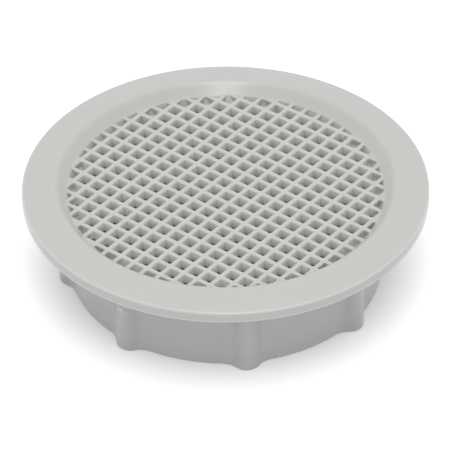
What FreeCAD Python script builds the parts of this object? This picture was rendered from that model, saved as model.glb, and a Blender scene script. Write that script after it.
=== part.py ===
import FreeCAD, Part
import math
import os

# Round push-in vent cover, one plastic moulding.
# It stands on the rim of its collar with the grille facing up: z = 0 is the rim, the Z axis is the
# axis of the vent, and X and Y run along the ribs of the grille.
# Driving sizes are in millimetres and degrees.

# Hole in the board that the collar is pushed into, and how far each lobe stands past its edge
mounting_hole_diameter = 70.0
lobe_squeeze = 0.33

# Collar: a plain round bore and a wall with rounded lobes that grip the hole
collar_depth = 18.8
collar_wall = 1.7
lobe_count = 8
lobe_height = 2.53
lobe_tip_radius = 2.5
lobe_blend_radius = 2.8

# Flange that covers the edge of the hole, with a top face that climbs towards its inner lip
flange_overlap = 7.5
flange_edge_thickness = 2.3
flange_rise = 1.55
flange_edge_rounding = 0.4

# Recess: a sloping ring from the lip down to the grille, which runs on behind the ribs to the bore
recess_depth = 2.45
recess_slope = 47.3
lip_rounding = 2.2

# Grille: a square lattice of ribs, narrower at the top, with a rib crossing on the axis
grille_depth = 2.1
cell_pitch = 3.4
rib_top_width = 0.95
rib_root_width = 1.45
smallest_cell_volume = 0.3

# Stiffeners: deeper ribs under every few lines of the lattice, both ways, a little inside the ribs
cells_between_stiffeners = 5
stiffener_depth = 5.0
stiffener_setback = 0.02
stiffener_foot_width = 0.9

# Flats that stand for a rounded edge, and the largest share of a side that a rounding takes
flange_edge_flat_count = 1
lip_flat_count = 2
rounding_share = 0.45

# How far a cutting shape reaches past the face that it breaks through
cut_margin = 1.0


# Heights worked out from the sizes above
seat_z = collar_depth
flange_edge_z = seat_z + flange_edge_thickness
lip_z = flange_edge_z + flange_rise
grille_top_z = lip_z - recess_depth
grille_under_z = grille_top_z - grille_depth
stiffener_foot_z = grille_top_z - stiffener_depth

# Radii worked out from the sizes above
crest_radius = mounting_hole_diameter / 2 + lobe_squeeze
collar_radius = crest_radius - lobe_height
bore_radius = collar_radius - collar_wall
lobe_center_radius = crest_radius - lobe_tip_radius
blend_center_radius = collar_radius + lobe_blend_radius
slope_run = 1 / math.tan(math.radians(recess_slope))
grille_radius = bore_radius + grille_depth * slope_run
lip_corner_radius = grille_radius + recess_depth * slope_run
flange_radius = mounting_hole_diameter / 2 + flange_overlap

axis_up = FreeCAD.Vector(0, 0, 1)
origin = FreeCAD.Vector(0, 0, 0)


def polar(radius, angle):
    return FreeCAD.Vector(radius * math.cos(angle), radius * math.sin(angle), 0)


def rounded_corner(before, corner, after, rounding, flat_count):
    # Points along the tangent arc that rounds a corner, which split it into equal flats
    back = before - corner
    ahead = after - corner
    half_angle = back.getAngle(ahead) / 2
    shorter_side = min(back.Length, ahead.Length)
    radius = min(rounding, rounding_share * shorter_side * math.tan(half_angle))
    back.normalize()
    ahead.normalize()
    center = corner + (back + ahead).normalize() * (radius / math.sin(half_angle))
    first_spoke = corner + back * (radius / math.tan(half_angle)) - center
    last_spoke = corner + ahead * (radius / math.tan(half_angle)) - center
    turn = math.pi - 2 * half_angle
    points = []
    for flat in range(flat_count + 1):
        share = flat / flat_count
        spoke = first_spoke * math.sin((1 - share) * turn) + last_spoke * math.sin(share * turn)
        points.append(center + spoke * (1 / math.sin(turn)))
    return points


def flange():
    # Disc with the flange, the lip, the sloping ring and the floor that the grille is cut from
    edge_foot = FreeCAD.Vector(flange_radius, 0, seat_z)
    edge_top = FreeCAD.Vector(flange_radius, 0, flange_edge_z)
    lip = FreeCAD.Vector(lip_corner_radius, 0, lip_z)
    slope_foot = FreeCAD.Vector(grille_radius, 0, grille_top_z)
    section = [FreeCAD.Vector(0, 0, seat_z), edge_foot]
    section += rounded_corner(edge_foot, edge_top, lip, flange_edge_rounding, flange_edge_flat_count)
    section += rounded_corner(edge_top, lip, slope_foot, lip_rounding, lip_flat_count)
    section += [slope_foot, FreeCAD.Vector(0, 0, grille_top_z), FreeCAD.Vector(0, 0, seat_z)]
    return Part.Face(Part.makePolygon(section)).revolve(origin, axis_up, 360)


def lobe_edges(angle, blend_angle, next_angle):
    # Tip arc of one lobe, its two blends, tangent to tip and wall, and the wall up to the next lobe
    tip_center = polar(lobe_center_radius, angle)
    feet = []
    middles = []
    meets = []
    for side in (-1, 1):
        blend_center = polar(blend_center_radius, angle + side * blend_angle)
        foot = polar(collar_radius, angle + side * blend_angle)
        meet = tip_center + (blend_center - tip_center).normalize() * lobe_tip_radius
        bisector = (foot - blend_center).normalize() + (meet - blend_center).normalize()
        feet.append(foot)
        middles.append(blend_center + bisector.normalize() * lobe_blend_radius)
        meets.append(meet)
    wall_middle = polar(collar_radius, (angle + next_angle) / 2)
    next_foot = polar(collar_radius, next_angle - blend_angle)
    return [
        Part.Arc(feet[0], middles[0], meets[0]).toShape(),
        Part.Arc(meets[0], polar(crest_radius, angle), meets[1]).toShape(),
        Part.Arc(meets[1], middles[1], feet[1]).toShape(),
        Part.Arc(feet[1], wall_middle, next_foot).toShape(),
    ]


def collar():
    # Lobed outline carried up from the rim to the flange's seat
    reach = lobe_tip_radius + lobe_blend_radius
    blend_angle = math.acos((blend_center_radius ** 2 + lobe_center_radius ** 2 - reach ** 2)
                            / (2 * blend_center_radius * lobe_center_radius))
    step = 2 * math.pi / lobe_count
    edges = []
    for lobe in range(lobe_count):
        edges += lobe_edges(lobe * step, blend_angle, (lobe + 1) * step)
    return Part.Face(Part.Wire(edges)).extrude(axis_up * seat_z)


def stiffeners():
    # Upright walls with a tapered section, along X and along Y, that run into the collar wall
    spacing = cells_between_stiffeners * cell_pitch
    reach = int(bore_radius / spacing)
    half_top = rib_root_width / 2 - stiffener_setback
    half_foot = stiffener_foot_width / 2
    top_z = grille_under_z + cut_margin
    walls = []
    for line in range(-reach, reach + 1):
        offset = line * spacing
        section = Part.makePolygon([
            FreeCAD.Vector(-crest_radius, offset - half_foot, stiffener_foot_z),
            FreeCAD.Vector(-crest_radius, offset + half_foot, stiffener_foot_z),
            FreeCAD.Vector(-crest_radius, offset + half_top, top_z),
            FreeCAD.Vector(-crest_radius, offset - half_top, top_z),
            FreeCAD.Vector(-crest_radius, offset - half_foot, stiffener_foot_z),
        ])
        along_x = Part.Face(section).extrude(FreeCAD.Vector(2 * crest_radius, 0, 0))
        along_y = along_x.copy()
        along_y.rotate(origin, axis_up, 90)
        walls += [along_x, along_y]
    return walls


def hollow():
    # Round space inside the collar up to the underside of the grille, less the stiffeners
    bore = Part.makeCylinder(bore_radius, grille_under_z + cut_margin, axis_up * -cut_margin)
    return bore.cut(Part.makeCompound(stiffeners()))


def cell_pin(overshoot):
    # Tapered square pin on the axis that leaves one opening, from below the grille to past its top
    taper = (rib_root_width - rib_top_width) / grille_depth
    length = cut_margin + grille_depth + overshoot
    half_foot = (cell_pitch - rib_root_width - taper * cut_margin) / 2
    half_top = (cell_pitch - rib_top_width + taper * overshoot) / 2
    pin = Part.makeWedge(-half_foot, 0, -half_foot, -half_top, -half_top,
                         half_foot, length, half_foot, half_top, half_top)
    pin.rotate(origin, FreeCAD.Vector(1, 0, 0), 90)
    pin.translate(axis_up * (grille_under_z - cut_margin))
    return pin


def cell_pins():
    # One pin for each cell. Pins on the round edge of the grille are cut back to the cone of the
    # sloping ring and end level with the top of the grille; slivers are left out
    cone_height = grille_depth + cut_margin
    clear_radius = grille_radius - cone_height * slope_run
    cone = Part.makeCone(clear_radius, grille_radius, cone_height, axis_up * (grille_under_z - cut_margin))
    half_opening = (cell_pitch - rib_top_width) / 2
    reach = math.ceil(grille_radius / cell_pitch)
    inner_pin = cell_pin(cut_margin)
    edge_pin = cell_pin(0)
    pins = []
    edge_pins = []
    for column in range(-reach, reach):
        for row in range(-reach, reach):
            place = FreeCAD.Vector((column + 0.5) * cell_pitch, (row + 0.5) * cell_pitch, 0)
            near_corner = math.hypot(abs(place.x) - half_opening, abs(place.y) - half_opening)
            far_corner = math.hypot(abs(place.x) + half_opening, abs(place.y) + half_opening)
            if far_corner <= clear_radius:
                pins.append(inner_pin.translated(place))
            elif near_corner < grille_radius:
                edge_pins.append(edge_pin.translated(place))
    for pin in Part.makeCompound(edge_pins).common(cone).Solids:
        if pin.Volume > smallest_cell_volume:
            pins.append(pin)
    return pins


def vent_cover():
    cored = flange().fuse(collar()).cut(hollow())
    return cored.cut(Part.makeCompound(cell_pins())).removeSplitter()


os.makedirs("parts", exist_ok=True)
cover = vent_cover()
print("valid", cover.isValid(), "solids", len(cover.Solids), "faces", len(cover.Faces))
print("volume", round(cover.Volume, 1), "box", cover.optimalBoundingBox())
cover.Solids[0].exportStep("parts/vent_cover.step")
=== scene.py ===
import math

import bmesh
import bpy
import numpy as np
from mathutils import Matrix, Vector


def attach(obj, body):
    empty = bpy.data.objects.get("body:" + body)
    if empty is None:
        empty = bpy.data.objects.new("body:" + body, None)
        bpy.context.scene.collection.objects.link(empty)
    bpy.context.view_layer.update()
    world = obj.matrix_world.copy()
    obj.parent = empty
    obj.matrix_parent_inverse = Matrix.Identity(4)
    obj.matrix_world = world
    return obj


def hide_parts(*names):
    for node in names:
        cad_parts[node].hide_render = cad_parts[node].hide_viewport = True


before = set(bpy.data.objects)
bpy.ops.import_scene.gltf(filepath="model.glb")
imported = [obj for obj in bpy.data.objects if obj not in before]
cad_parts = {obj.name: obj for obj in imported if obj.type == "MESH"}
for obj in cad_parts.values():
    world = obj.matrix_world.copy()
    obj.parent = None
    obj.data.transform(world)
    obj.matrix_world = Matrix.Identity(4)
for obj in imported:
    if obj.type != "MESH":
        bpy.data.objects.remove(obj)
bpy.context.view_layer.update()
scene = bpy.context.scene
mm = 0.001             # the shapes below are worked out in millimetres
mergeDistance = 1e-6   # points nearer to each other than this, in metres, become one
print("frame loaded:", sorted(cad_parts))


# small tools that every shape uses

def newPiece(name, points, faces):
    # points in millimetres and faces as rows of point numbers; doubles are merged, normals point outwards
    mesh = bpy.data.meshes.new(name)
    mesh.from_pydata((np.asarray(points).reshape(-1, 3) * mm).tolist(), [], faces)
    work = bmesh.new()
    work.from_mesh(mesh)
    bmesh.ops.remove_doubles(work, verts=work.verts, dist=mergeDistance)
    bmesh.ops.recalc_face_normals(work, faces=work.faces)
    work.to_mesh(mesh)
    work.free()
    piece = bpy.data.objects.new(name, mesh)
    scene.collection.objects.link(piece)
    return piece


def wrapFaces(rows, columns):
    # quads of a grid that closes on itself in both directions
    here = np.arange(rows * columns).reshape(rows, columns)
    below = np.roll(here, -1, 0)
    return np.stack([here, np.roll(here, -1, 1), np.roll(below, -1, 1), below], -1).reshape(-1, 4)


def combine(piece, tool, operation):
    # piece becomes its union or intersection with tool, and tool is used up
    step = piece.modifiers.new("combine", "BOOLEAN")
    step.operation = operation
    step.solver = "MANIFOLD"
    step.object = tool
    solid = bpy.data.meshes.new_from_object(piece.evaluated_get(bpy.context.evaluated_depsgraph_get()))
    piece.modifiers.clear()
    old = piece.data
    piece.data = solid
    bpy.data.meshes.remove(old)
    spent = tool.data
    bpy.data.objects.remove(tool)
    bpy.data.meshes.remove(spent)
    return piece


# the ring: flange, lip, sloping recess and lobed collar

ring = {
    "bore": 31.1,
    "wall": 32.8,        # outside of the collar between the lobes
    "seat": 18.8,        # underside of the flange
    "flange": 42.48,
    "edgeTop": 21.1,
    "lipTop": 22.59,     # where the flange and the slope would meet without the rounding
    "recess": 2.39,
    "grilleDepth": 2.1,
    "slope": 47.3,
    "ledge": 0.25,       # flat between the bore and the foot of the slope
    "lobes": 8,
    "crest": 35.33,
    "tip": 2.85,
    "blend": 4.8,
    "rounding": {        # corners of the section, in the order in which the outline runs
        "rimInside": 0.2,
        "rimOutside": 0.3,
        "seatCorner": 0.45,
        "edgeFoot": 0.15,
        "edgeTop": 0.35,
        "lip": 2.2,
        "slopeFoot": 0.1,
        "ledge": 0.1,
    },
    "arcSteps": 6,
    "turnSteps": 720,
    "sharpAngle": 34,    # edges of the finished cover that turn by more than this stay sharp
}
slopeRun = 1 / math.tan(math.radians(ring["slope"]))
grilleTop = ring["lipTop"] - ring["recess"]
grilleUnder = grilleTop - ring["grilleDepth"]
slopeFoot = ring["bore"] + ring["ledge"]
grilleRadius = slopeFoot + ring["grilleDepth"] * slopeRun
lipRadius = grilleRadius + ring["recess"] * slopeRun


def roundOutline(corners, radii, steps):
    # closed outline in which each corner is replaced by the arc that touches both of its sides:
    # the spokes of the arc turn evenly from the first side's touching point to the second's
    corners = np.array(corners, float)
    radii = np.array(radii, float)[:, None]
    back = np.roll(corners, 1, 0) - corners
    ahead = np.roll(corners, -1, 0) - corners
    back /= np.linalg.norm(back, axis=1, keepdims=True)
    ahead /= np.linalg.norm(ahead, axis=1, keepdims=True)
    half = np.arccos(np.clip((back * ahead).sum(1, keepdims=True), -1, 1)) / 2
    middle = back + ahead
    centre = corners + middle / np.linalg.norm(middle, axis=1, keepdims=True) * radii / np.sin(half)
    first = corners + back * radii / np.tan(half) - centre
    last = corners + ahead * radii / np.tan(half) - centre
    turn = math.pi - 2 * half
    share = np.linspace(0, 1, steps + 1)[None, :]
    near = (np.sin((1 - share) * turn) / np.sin(turn))[..., None]
    far = (np.sin(share * turn) / np.sin(turn))[..., None]
    return (centre[:, None] + near * first[:, None] + far * last[:, None]).reshape(-1, 2)


def lobeHeight(angle):
    # how far the collar's outside stands past its wall: the far side of the tip circle near a lobe's
    # middle line, then the near side of the blend circle that touches both tip and wall, then nothing
    step = 2 * math.pi / ring["lobes"]
    phi = np.abs((angle + step / 2) % step - step / 2)
    tip, blend = ring["tip"], ring["blend"]
    tipCentre = ring["crest"] - tip
    blendCentre = ring["wall"] + blend
    reach = tip + blend
    blendAngle = math.acos((tipCentre ** 2 + blendCentre ** 2 - reach ** 2) / (2 * tipCentre * blendCentre))
    share = tip / reach
    meetX = tipCentre + (blendCentre * math.cos(blendAngle) - tipCentre) * share
    meetY = blendCentre * math.sin(blendAngle) * share
    meet = math.atan2(meetY, meetX)
    aside = blendAngle - phi
    tipReach = np.sqrt(np.maximum(tip ** 2 - (tipCentre * np.sin(phi)) ** 2, 0))
    blendReach = np.sqrt(np.maximum(blend ** 2 - (blendCentre * np.sin(aside)) ** 2, 0))
    onTip = tipCentre * np.cos(phi) + tipReach
    onBlend = blendCentre * np.cos(aside) - blendReach
    radius = np.where(phi < meet, onTip, np.where(phi < blendAngle, onBlend, ring["wall"]))
    return radius - ring["wall"]


def makeRing():
    # the section outline turned round the axis; on the collar's outside the radius grows by the lobe height
    corners = np.array([
        (ring["bore"], 0),
        (ring["wall"], 0),
        (ring["wall"], ring["seat"]),
        (ring["flange"], ring["seat"]),
        (ring["flange"], ring["edgeTop"]),
        (lipRadius, ring["lipTop"]),
        (slopeFoot, grilleUnder),
        (ring["bore"], grilleUnder),
    ])
    outline = roundOutline(corners, list(ring["rounding"].values()), ring["arcSteps"])
    lobed = np.repeat(corners[:, 0] == ring["wall"], ring["arcSteps"] + 1)
    angle = np.linspace(0, 2 * math.pi, ring["turnSteps"], endpoint=False)
    radius = outline[:, :1] + lobed[:, None] * lobeHeight(angle)[None, :]
    height = np.broadcast_to(outline[:, 1:], radius.shape)
    points = np.stack([radius * np.cos(angle), radius * np.sin(angle), height], -1)
    return newPiece("ventCover", points, wrapFaces(*radius.shape).tolist())


# the grille: a square lattice of ribs, cut to the cone of the sloping recess

grille = {
    "pitch": 3.4,
    "topWidth": 1.0,
    "rootWidth": 1.3,
    "topRounding": 0.25,
    "roundingSteps": 3,
    "rootChamfer": 0.06,
    "cellCorner": 0.22,
    "cornerSteps": 2,
    "halfCount": 10,
    "closedCells": ((8, 5), (9, 3)),   # slivers at the round edge that are moulded solid
    "buried": 0.45,                    # how far the ribs run into the ring
    "coneSteps": 240,
    "coneMargin": 1.0,                 # how far the cutting cone reaches over and under the lattice
}


def cellTile():
    # one cell: rounded squares of growing or shrinking size, from the middle of the rib tops, over the
    # rounded rib edge, down the tapered wall and out to the middle of the rib roots
    pitch = grille["pitch"] / 2
    topHalf = pitch - grille["topWidth"] / 2
    rootHalf = pitch - grille["rootWidth"] / 2
    turn = np.linspace(0, math.pi / 2, grille["roundingSteps"] + 1)
    half = np.concatenate([
        [pitch],
        topHalf + grille["topRounding"] * (1 - np.sin(turn)),
        [rootHalf, rootHalf + grille["rootChamfer"], pitch],
    ])
    height = np.concatenate([
        [grilleTop],
        grilleTop - grille["topRounding"] * (1 - np.cos(turn)),
        [grilleUnder + grille["rootChamfer"], grilleUnder, grilleUnder],
    ])
    corner = grille["cellCorner"] + half - topHalf
    corner[[0, -1]] = 0
    quarter = np.arange(4)[:, None]
    share = np.linspace(0, 1, grille["cornerSteps"] + 1)[None, :]
    angle = ((quarter + share) * math.pi / 2).ravel()
    signX = np.repeat([1, -1, -1, 1], grille["cornerSteps"] + 1)
    signY = np.repeat([1, 1, -1, -1], grille["cornerSteps"] + 1)
    inset = (half - corner)[:, None]
    x = inset * signX + corner[:, None] * np.cos(angle)
    y = inset * signY + corner[:, None] * np.sin(angle)
    return np.stack([x, y, np.broadcast_to(height[:, None], x.shape)], -1)


def makeLattice():
    # the tile set down once for each cell of a square block, whose four sides are closed by plain walls
    tile = cellTile()
    rows, around = tile.shape[:2]
    count = grille["halfCount"]
    pitch = grille["pitch"]
    column, row = np.meshgrid(np.arange(-count, count), np.arange(-count, count), indexing="ij")
    column, row = column.ravel(), row.ravel()
    centre = np.stack([(column + 0.5) * pitch, (row + 0.5) * pitch, np.zeros(len(row))], -1)
    points = (centre[:, None, None] + tile[None]).reshape(-1, 3)
    number = np.arange(len(points)).reshape(len(row), rows, around)
    across = np.maximum(column, -1 - column)
    along = np.maximum(row, -1 - row)
    closed = np.zeros(len(row), bool)
    for first, second in grille["closedCells"]:
        closed |= ((across == first) & (along == second)) | ((across == second) & (along == first))
    openNumber = number[~closed]
    following = np.roll(openNumber, -1, 2)
    walls = np.stack([openNumber[:, :-1], following[:, :-1], following[:, 1:], openNumber[:, 1:]], -1)
    caps = number[closed][:, [0, -1]][:, :, ::grille["cornerSteps"] + 1]
    line = np.arange(-count, count + 1) * pitch
    side = np.stack([line, np.full(len(line), -count * pitch)], -1)
    turned = np.stack([-side[:, 1], side[:, 0]], -1)
    sides = np.stack([side, turned, -side, -turned])
    top = np.concatenate([sides, np.full(sides.shape[:2] + (1,), grilleTop)], -1)
    under = np.concatenate([sides, np.full(sides.shape[:2] + (1,), grilleUnder)], -1)
    block = np.stack([top[:, :-1], top[:, 1:], under[:, 1:], under[:, :-1]], 2).reshape(-1, 3)
    blockFaces = (len(points) + np.arange(len(block))).reshape(-1, 4)
    faces = walls.reshape(-1, 4).tolist() + caps.reshape(-1, 4).tolist() + blockFaces.tolist()
    return newPiece("lattice", np.concatenate([points, block]), faces)


def makeEdgeCone():
    # cone that lies a little outside the sloping recess, so that the rib ends are buried in the ring
    angle = np.linspace(0, 2 * math.pi, grille["coneSteps"], endpoint=False)
    height = np.array([grilleUnder - grille["coneMargin"], grilleTop + grille["coneMargin"]])
    radius = (slopeFoot + (height - grilleUnder) * slopeRun + grille["buried"])[:, None]
    level = np.broadcast_to(height[:, None], (2, len(angle)))
    points = np.stack([radius * np.cos(angle), radius * np.sin(angle), level], -1)
    here = np.arange(len(angle))
    following = np.roll(here, -1)
    sides = np.stack([here, following, following + len(angle), here + len(angle)], -1)
    faces = sides.tolist() + [here[::-1].tolist(), (here + len(angle)).tolist()]
    return newPiece("edgeCone", points, faces)


# the stiffeners: deeper ribs under every few lines of the lattice, both ways

stiffener = {
    "spacing": 5,        # lattice lines from one stiffener to the next
    "eachSide": 1,       # stiffeners on each side of the one through the middle
    "depth": 5.0,        # from the top of the grille
    "topWidth": 1.23,
    "footWidth": 0.9,
    "topRounding": 0.02,
    "footRounding": 0.2,
    "arcSteps": 3,
    "reach": 31.9,       # ends lie inside the collar wall
    "overlap": 0.15,     # how far it runs up into the lattice
}


def makeStiffeners(name, turned):
    # a tapered section with a rounded foot, carried straight from one side of the collar to the other
    top = grilleUnder + stiffener["overlap"]
    foot = grilleTop - stiffener["depth"]
    halfTop, halfFoot = stiffener["topWidth"] / 2, stiffener["footWidth"] / 2
    corners = [(-halfTop, top), (-halfFoot, foot), (halfFoot, foot), (halfTop, top)]
    topRounding, footRounding = stiffener["topRounding"], stiffener["footRounding"]
    rounding = (topRounding, footRounding, footRounding, topRounding)
    section = roundOutline(corners, rounding, stiffener["arcSteps"])
    line = np.arange(-stiffener["eachSide"], stiffener["eachSide"] + 1)
    offset = line * stiffener["spacing"] * grille["pitch"]
    reach = np.sqrt(stiffener["reach"] ** 2 - offset ** 2)
    ends = np.stack([-reach, reach], 1)
    size = (len(offset), 2, len(section))
    along = np.broadcast_to(ends[:, :, None], size)
    across = np.broadcast_to(offset[:, None, None] + section[:, 0], size)
    height = np.broadcast_to(section[:, 1], size)
    points = np.stack([across, along, height] if turned else [along, across, height], -1)
    number = np.arange(points[..., 0].size).reshape(size)
    following = np.roll(number, -1, 2)
    sides = np.stack([number[:, 0], following[:, 0], following[:, 1], number[:, 1]], -1)
    faces = sides.reshape(-1, 4).tolist() + number.reshape(-1, len(section)).tolist()
    return newPiece(name, points, faces)


# the nib: a small stub left by the moulding on the outside of one lobe

nib = {
    "angle": -89.5,
    "height": 11.05,
    "length": 1.9,
    "thick": 0.95,
    "stands": 0.6,
    "lean": -21.0,       # slope of its long side
    "ripple": 0.1,
    "waves": 5,
    "steps": 7,
    "around": 24,
}
nibTurn = math.radians(nib["angle"])
nibMiddle = (ring["crest"] * math.cos(nibTurn), ring["crest"] * math.sin(nibTurn), nib["height"])


def makeNib():
    # a squashed ball whose middle lies on the lobe's crest, with a ripple of a few waves round its edge
    lean = math.radians(nib["lean"])
    away = np.array([math.cos(nibTurn), math.sin(nibTurn), 0])
    side = np.array([-math.sin(nibTurn), math.cos(nibTurn), 0])
    upward = np.array([0, 0, 1])
    along = side * math.cos(lean) + upward * math.sin(lean)
    across = upward * math.cos(lean) - side * math.sin(lean)
    rise = np.linspace(-math.pi / 2, math.pi / 2, nib["steps"])[:, None, None]
    spin = np.linspace(0, 2 * math.pi, nib["around"], endpoint=False)[None, :, None]
    width = np.cos(rise) * (1 + nib["ripple"] * np.sin(nib["waves"] * spin)) / 2
    points = np.array(nibMiddle) + nib["stands"] * np.sin(rise) * away
    points = points + nib["length"] * width * np.cos(spin) * along
    points = points + nib["thick"] * width * np.sin(spin) * across
    strips = wrapFaces(nib["steps"], nib["around"])[:-nib["around"]]
    return newPiece("nib", points, strips.tolist())


cover = makeRing()
print("ring:", len(cover.data.polygons), "faces")
lattice = combine(makeLattice(), makeEdgeCone(), "INTERSECT")
print("lattice:", len(lattice.data.polygons), "faces")
combine(cover, lattice, "UNION")
combine(cover, makeStiffeners("stiffenersAlongX", False), "UNION")
combine(cover, makeStiffeners("stiffenersAlongY", True), "UNION")
combine(cover, makeNib(), "UNION")
cover.data.shade_smooth()
cover.data.set_sharp_from_angle(angle=math.radians(ring["sharpAngle"]))
print("cover joined:", len(cover.data.polygons), "faces")


# small tools for the materials

nodeGrid = {"columns": 6, "across": 220, "down": 320}   # nodes stand in rows in the node editor


def addNode(tree, kind, inputs=None, **settings):
    # inputs go by the socket's name or number, each a plain value or another node's output
    row, column = divmod(len(tree.nodes), nodeGrid["columns"])
    node = tree.nodes.new(kind)
    node.location = (column * nodeGrid["across"], -row * nodeGrid["down"])
    for key, value in settings.items():
        setattr(node, key, value)
    for key, value in (inputs or {}).items():
        if isinstance(value, bpy.types.NodeSocket):
            tree.links.new(value, node.inputs[key])
        else:
            node.inputs[key].default_value = value
    return node


def maths(tree, operation, *values):
    return addNode(tree, "ShaderNodeMath", dict(enumerate(values)), operation=operation).outputs[0]


def vectorMaths(tree, operation, *values):
    return addNode(tree, "ShaderNodeVectorMath", dict(enumerate(values)), operation=operation).outputs


def scaled(tree, vector, factor):
    node = addNode(tree, "ShaderNodeVectorMath", {0: vector, "Scale": factor}, operation="SCALE")
    return node.outputs["Vector"]


def ramp(tree, value, span, levels=(0.0, 1.0), curve="SMOOTHSTEP"):
    # goes from the first level to the second while value goes over the span
    inputs = {
        "Value": value,
        "From Min": span[0],
        "From Max": span[1],
        "To Min": levels[0],
        "To Max": levels[1],
    }
    return addNode(tree, "ShaderNodeMapRange", inputs, interpolation_type=curve).outputs["Result"]


def emptyMaterial(name):
    material = bpy.data.materials.new(name)
    material.use_nodes = True
    material.node_tree.nodes.clear()
    return material


# the plastic: light grey and moulded, with painted shade and painted highlights

plastic = {
    "skin": {
        "Base": (0.612, 0.618, 0.588, 1),
        "Mottle": 0.035,
        # painted shade on the slope of the recess
        "Slope Shade": 0.04,
        # painted highlight on the rib tops
        "Top Highlight": 0.035,
        # painted light on the cell walls
        "Wall Light": 0.125,
        # painted highlight along the flange's two edges
        "Edge Highlight": 0.12,
        # the nib painted paler
        "Nib Pale": 0.3,
        # painted shade in the corners between the ribs and the slope
        "Corner Shade": 0.26,
        "Gloss Low": 0.18,
        "Gloss High": 0.27,
    },
    "ior": 1.56,
    "grainStrength": 0.12,
    "grainDepth": 0.00002,
    "clouds": (55.0, 2.0),           # scale and detail of each noise
    "mottle": (420.0, 3.0),
    "grain": (4200.0, 2.0),
    "glossSpan": (0.3, 0.7),         # mottling over which the roughness goes from low to high
    # where each painted mark sets in and where it is full, in millimetres
    "slopeShadeSpan": (1.3, 0.5),          # distances from the middle of the slope
    "wallLightSpan": (0.15, 0.02),       # depths under the rib tops, from the painted light on the walls to the painted highlight on the tops
    "rootMargin": 0.02,              # up to this height over their underside the ribs get no painted light
    "edgeHighlightSpan": (0.6, 0.15),         # distances from the flange's two edges
    "edgeHighlightWeights": {"edgeTop": 1.0, "seat": 1.8},
    "nibPaleSpan": (1.3, 0.7),          # distances from the middle of the nib
    "cornerShadeSpan": (0.05, 0.4),        # depths under the rib tops
    "cornerShadeFloor": 0.05,              # the painted shade ends this high over the flange's underside
    "cornerShadeMargin": 0.2,              # it lies between this far outside the bore and outside the grille
}


def makeSkinGroup():
    # moulded skin: slow clouds and fine mottling in tone, uneven gloss, and a fine grain as height.
    # Painted shade darkens the slope of the recess and the round edge of the mesh; painted light makes the
    # cell walls paler, painted highlights lie on the rib tops and the flange's two edges, and the nib is
    # painted paler
    group = bpy.data.node_groups.new("mouldedSkin", "ShaderNodeTree")
    for way, names in (("INPUT", plastic["skin"]), ("OUTPUT", ("Color", "Roughness", "Height"))):
        for name in names:
            kind = "NodeSocketColor" if name in ("Base", "Color") else "NodeSocketFloat"
            group.interface.new_socket(name=name, in_out=way, socket_type=kind)
    given = addNode(group, "NodeGroupInput").outputs
    place = addNode(group, "ShaderNodeTexCoord").outputs["Object"]

    noises = {}
    for name in ("clouds", "mottle", "grain"):
        scale, detail = plastic[name]
        noise = addNode(group, "ShaderNodeTexNoise", {"Vector": place, "Scale": scale, "Detail": detail})
        noises[name] = noise.outputs["Fac"]
    swing = maths(group, "SUBTRACT", maths(group, "ADD", noises["clouds"], noises["mottle"]), 1.0)
    tone = maths(group, "MULTIPLY_ADD", swing, given["Mottle"], 1.0)

    height = addNode(group, "ShaderNodeSeparateXYZ", {0: place}).outputs["Z"]
    flat = vectorMaths(group, "MULTIPLY", place, (1, 1, 0))["Vector"]
    radius = vectorMaths(group, "LENGTH", flat)["Value"]

    # painted highlight on the rib tops and painted light on the cell walls
    wallLightSpan = [(grilleTop - depth) * mm for depth in plastic["wallLightSpan"]]
    crest = ramp(group, height, wallLightSpan, (given["Wall Light"], given["Top Highlight"]))
    inGrille = maths(group, "LESS_THAN", radius, (ring["bore"] + ring["wall"]) / 2 * mm)
    overRoots = maths(group, "GREATER_THAN", height, (grilleUnder + plastic["rootMargin"]) * mm)
    tone = maths(group, "MULTIPLY_ADD", crest, maths(group, "MULTIPLY", inGrille, overRoots), tone)

    # painted shade on the slope
    slopeMiddle = (grilleRadius + lipRadius) / 2 * mm
    aside = maths(group, "ABSOLUTE", maths(group, "SUBTRACT", radius, slopeMiddle))
    onSlope = ramp(group, aside, [distance * mm for distance in plastic["slopeShadeSpan"]])
    tone = maths(group, "SUBTRACT", tone, maths(group, "MULTIPLY", onSlope, given["Slope Shade"]))

    # painted highlights along the flange's two edges
    section = addNode(group, "ShaderNodeCombineXYZ", {"X": radius, "Y": height}).outputs["Vector"]
    edgeHighlightSpan = [distance * mm for distance in plastic["edgeHighlightSpan"]]
    edges = []
    for edge, weight in plastic["edgeHighlightWeights"].items():
        away = vectorMaths(group, "DISTANCE", section, (ring["flange"] * mm, ring[edge] * mm, 0))["Value"]
        edges.append(ramp(group, away, edgeHighlightSpan, (0.0, weight)))
    tone = maths(group, "MULTIPLY_ADD", maths(group, "ADD", *edges), given["Edge Highlight"], tone)

    # the nib painted paler
    fromNib = vectorMaths(group, "DISTANCE", place, Vector(nibMiddle) * mm)["Value"]
    onNib = ramp(group, fromNib, [distance * mm for distance in plastic["nibPaleSpan"]])
    tone = maths(group, "MULTIPLY_ADD", onNib, given["Nib Pale"], tone)

    # painted shade in the corners between the ribs and the slope
    below = ramp(group, height, [(grilleTop - depth) * mm for depth in plastic["cornerShadeSpan"]])
    above = maths(group, "GREATER_THAN", height, (ring["seat"] + plastic["cornerShadeFloor"]) * mm)
    outer = maths(group, "GREATER_THAN", radius, (ring["bore"] + plastic["cornerShadeMargin"]) * mm)
    inner = maths(group, "LESS_THAN", radius, (grilleRadius + plastic["cornerShadeMargin"]) * mm)
    level = maths(group, "MULTIPLY", below, above)
    corner = maths(group, "MULTIPLY", level, maths(group, "MULTIPLY", outer, inner))
    tone = maths(group, "SUBTRACT", tone, maths(group, "MULTIPLY", corner, given["Corner Shade"]))

    glossLevels = (given["Gloss Low"], given["Gloss High"])
    addNode(group, "NodeGroupOutput", {
        "Color": scaled(group, given["Base"], tone),
        "Roughness": ramp(group, noises["mottle"], plastic["glossSpan"], glossLevels, "LINEAR"),
        "Height": noises["grain"],
    })
    return group


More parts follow.
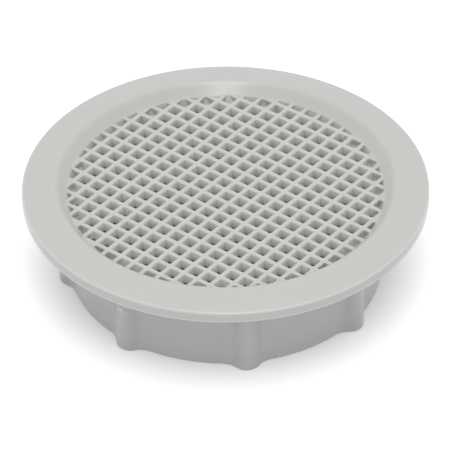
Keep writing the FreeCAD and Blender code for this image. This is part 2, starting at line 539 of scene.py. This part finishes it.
def makePlastic(skinGroup):
    material = emptyMaterial("greyPlastic")
    tree = material.node_tree
    skin = addNode(tree, "ShaderNodeGroup", plastic["skin"], node_tree=skinGroup).outputs
    bump = addNode(tree, "ShaderNodeBump", {
        "Strength": plastic["grainStrength"],
        "Distance": plastic["grainDepth"],
        "Height": skin["Height"],
    })
    shader = addNode(tree, "ShaderNodeBsdfPrincipled", {
        "Base Color": skin["Color"],
        "Roughness": skin["Roughness"],
        "IOR": plastic["ior"],
        "Normal": bump.outputs["Normal"],
    })
    addNode(tree, "ShaderNodeOutputMaterial", {"Surface": shader.outputs["BSDF"]})
    return material


cover.data.materials.clear()
cover.data.materials.append(makePlastic(makeSkinGroup()))
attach(cover, "root")
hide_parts("vent_cover")
print("plastic laid on the cover")


# the set: white floor, soft light from above and a long lens

studio = {
    "floorSize": 4.0,
    "floorTone": (1.0, 1.0, 1.0, 1),
    "floorGlow": 0.37,                 # added where the floor is seen, so that the open floor is white
    "shadowReach": (0.026, 0.048),     # the glow sets in between these distances from the shadow's centre
    "shadowCentre": (-0.0014, 0.0014, 0.0),
    "bounceTint": (0.985, 0.985, 1.04),
    "floorBounce": (0.45, 0.65),       # tone of the floor as it lights the cover, near it and away from it; the lower tone near it is painted shade
    "bounceReach": (0.036, 0.08),      # distances from the axis for these two tones
    "coveredShadeTone": 0.1,                # tone of the floor inside the collar, seen through the mesh, made dark as painted shade
    "coveredFloor": 0.032,             # floor nearer to the axis than this lies inside the collar
    "dome": (0.985, 0.985, 1.0, 1),
    "domeStrength": 0.81,
    # softboxes: azimuth and elevation from the part, distance, width, height, power and whether it shows
    # as a glint or lights the matt surface
    "softboxes": {
        "topBox": (217.0, 86.0, 0.9, 0.5, 0.5, 0.55, False),
        "frontBox": (36.0, 62.0, 0.9, 0.5, 0.5, 0.8, False),
        "glintBox": (38.0, 70.0, 0.9, 0.24, 0.9, 2.0, True),
    },
    "boxColor": (1.0, 1.0, 0.97),
}


def standOff(azimuth, elevation):
    # direction from the part to a place round it, in degrees
    turn, rise = math.radians(azimuth), math.radians(elevation)
    return Vector((math.sin(turn) * math.cos(rise), -math.cos(turn) * math.cos(rise), math.sin(rise)))


def makeWhiteFloor():
    # white with a glow where it is seen, itself or as a reflection, and darker where it only lights the
    # cover, with painted shade in the lower tone near the cover; inside the collar it is dark to every ray,
    # as painted shade
    material = emptyMaterial("whiteFloor")
    tree = material.node_tree
    path = addNode(tree, "ShaderNodeLightPath").outputs
    direct = maths(tree, "MAXIMUM", path["Is Camera Ray"], path["Is Glossy Ray"])
    seen = maths(tree, "MAXIMUM", direct, path["Is Transmission Ray"])
    place = addNode(tree, "ShaderNodeTexCoord").outputs["Object"]
    distance = vectorMaths(tree, "LENGTH", place)["Value"]
    outside = maths(tree, "GREATER_THAN", distance, studio["coveredFloor"])
    reach = vectorMaths(tree, "DISTANCE", place, studio["shadowCentre"])["Value"]
    fade = ramp(tree, reach, studio["shadowReach"], (0.0, studio["floorGlow"]))
    bounce = ramp(tree, distance, studio["bounceReach"], studio["floorBounce"], "LINEAR")
    tone = ramp(tree, outside, (0.0, 1.0), (studio["coveredShadeTone"], bounce), "LINEAR")
    matt = addNode(tree, "ShaderNodeBsdfDiffuse", {"Color": scaled(tree, studio["bounceTint"], tone)})
    pale = addNode(tree, "ShaderNodeBsdfDiffuse", {"Color": studio["floorTone"]})
    glow = addNode(tree, "ShaderNodeEmission", {"Strength": fade})
    bright = addNode(tree, "ShaderNodeAddShader", {0: pale.outputs["BSDF"], 1: glow.outputs["Emission"]})
    choose = addNode(tree, "ShaderNodeMixShader", {
        0: maths(tree, "MULTIPLY", seen, outside),
        1: matt.outputs["BSDF"],
        2: bright.outputs["Shader"],
    })
    addNode(tree, "ShaderNodeOutputMaterial", {"Surface": choose.outputs["Shader"]})
    return material


def makeFloor():
    side = studio["floorSize"] / 2
    corners = [(-side, -side, 0), (side, -side, 0), (side, side, 0), (-side, side, 0)]
    mesh = bpy.data.meshes.new("floor")
    mesh.from_pydata(corners, [], [(0, 1, 2, 3)])
    mesh.materials.append(makeWhiteFloor())
    floor = bpy.data.objects.new("floor", mesh)
    scene.collection.objects.link(floor)


def makeLight():
    world = bpy.data.worlds.new("softDome")
    scene.world = world
    world.use_nodes = True
    sky = world.node_tree.nodes["Background"]
    sky.inputs["Color"].default_value = studio["dome"]
    sky.inputs["Strength"].default_value = studio["domeStrength"]
    for name, (azimuth, elevation, distance, width, height, power, isGlint) in studio["softboxes"].items():
        lamp = bpy.data.lights.new(name, "AREA")
        lamp.shape = "RECTANGLE"
        lamp.size = width
        lamp.size_y = height
        lamp.energy = power
        lamp.color = studio["boxColor"]
        holder = bpy.data.objects.new(name, lamp)
        holder.location = standOff(azimuth, elevation) * distance
        holder.rotation_euler = (-holder.location).to_track_quat("-Z", "Y").to_euler()
        holder.visible_diffuse = not isGlint
        holder.visible_glossy = isGlint
        scene.collection.objects.link(holder)


lens = {
    "azimuth": 37.8,
    "elevation": 37.4,
    "roll": -0.366,
    "distance": 0.8989,
    "target": (-0.00145, 0.00154, 0.0201),
    "focal": 4300.0,           # in pixels of the picture
    "centre": (2.91, -44.5),   # from the target to the middle of the picture, in pixels, up positive
    "pixels": 455,
    "sensor": 36.0,
    "clip": (0.05, 20.0),
}


def makeCamera():
    # the camera stands off from the target and is then turned until the target sits where it should
    back = standOff(lens["azimuth"], lens["elevation"])
    turn = back.to_track_quat("Z", "Y").to_matrix() @ Matrix.Rotation(math.radians(lens["roll"]), 3, "Z")
    right, up = turn.col[0], turn.col[1]
    ahead = -back * lens["focal"] + right * lens["centre"][0] + up * lens["centre"][1]
    newBack = -ahead.normalized()
    newRight = (right - newBack * right.dot(newBack)).normalized()
    newUp = newBack.cross(newRight)
    body = bpy.data.cameras.new("camera")
    body.sensor_fit = "HORIZONTAL"
    body.sensor_width = lens["sensor"]
    body.lens = lens["sensor"] * lens["focal"] / lens["pixels"]
    body.clip_start, body.clip_end = lens["clip"]
    camera = bpy.data.objects.new("camera", body)
    camera.matrix_world = Matrix((newRight, newUp, newBack)).transposed().to_4x4()
    camera.location = Vector(lens["target"]) + back * lens["distance"]
    scene.collection.objects.link(camera)
    scene.camera = camera


makeFloor()
makeLight()
makeCamera()
scene.view_settings.view_transform = "Standard"
print("studio ready")
